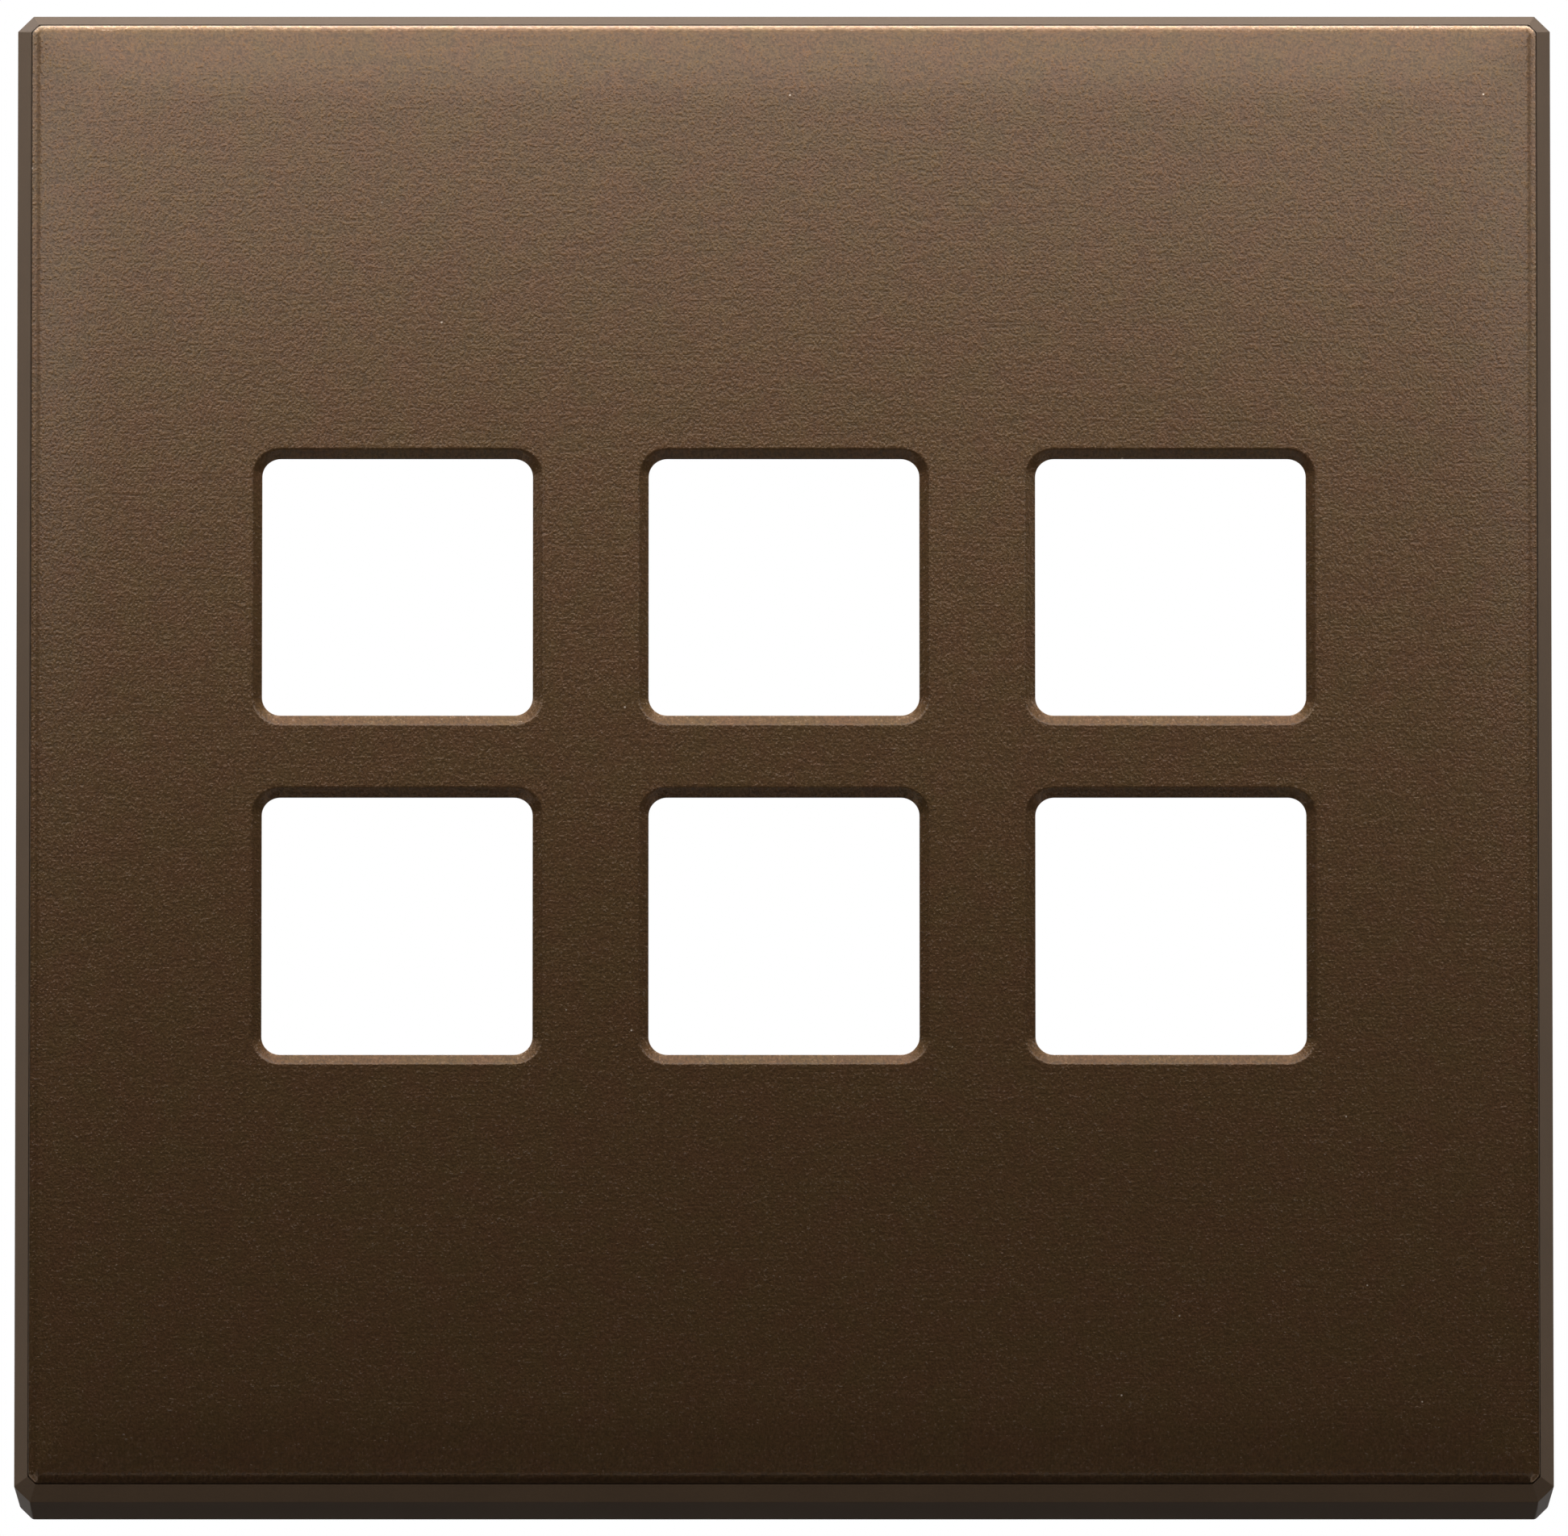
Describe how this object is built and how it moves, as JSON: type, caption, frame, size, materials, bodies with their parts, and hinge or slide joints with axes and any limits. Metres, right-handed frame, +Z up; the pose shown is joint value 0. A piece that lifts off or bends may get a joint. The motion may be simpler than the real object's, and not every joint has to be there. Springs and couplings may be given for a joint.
{
  "type": "switch plate",
  "caption": "Square screwless wall plate: a bronze metal face with rectangular windows for grid switch modules, set in a moulded carrier with a bevelled rim and snap hooks behind.",
  "frame": {"origin": "middle of the wall plane, which the foot of the carrier's skirt rests on", "axes": "+X right and +Z up as seen from the front, +Y into the wall, so the face looks along -Y"},
  "size_m": [0.146, 0.011, 0.146],
  "materials": {
    "bronze_face": "bronze lacquer over a satin, cross-brushed sheet",
    "brown_moulding": "fine satin moulding"
  },
  "bodies": {
    "root": {"face_panel": "bronze_face", "carrier_frame": "brown_moulding"}
  },
  "joints": []
}
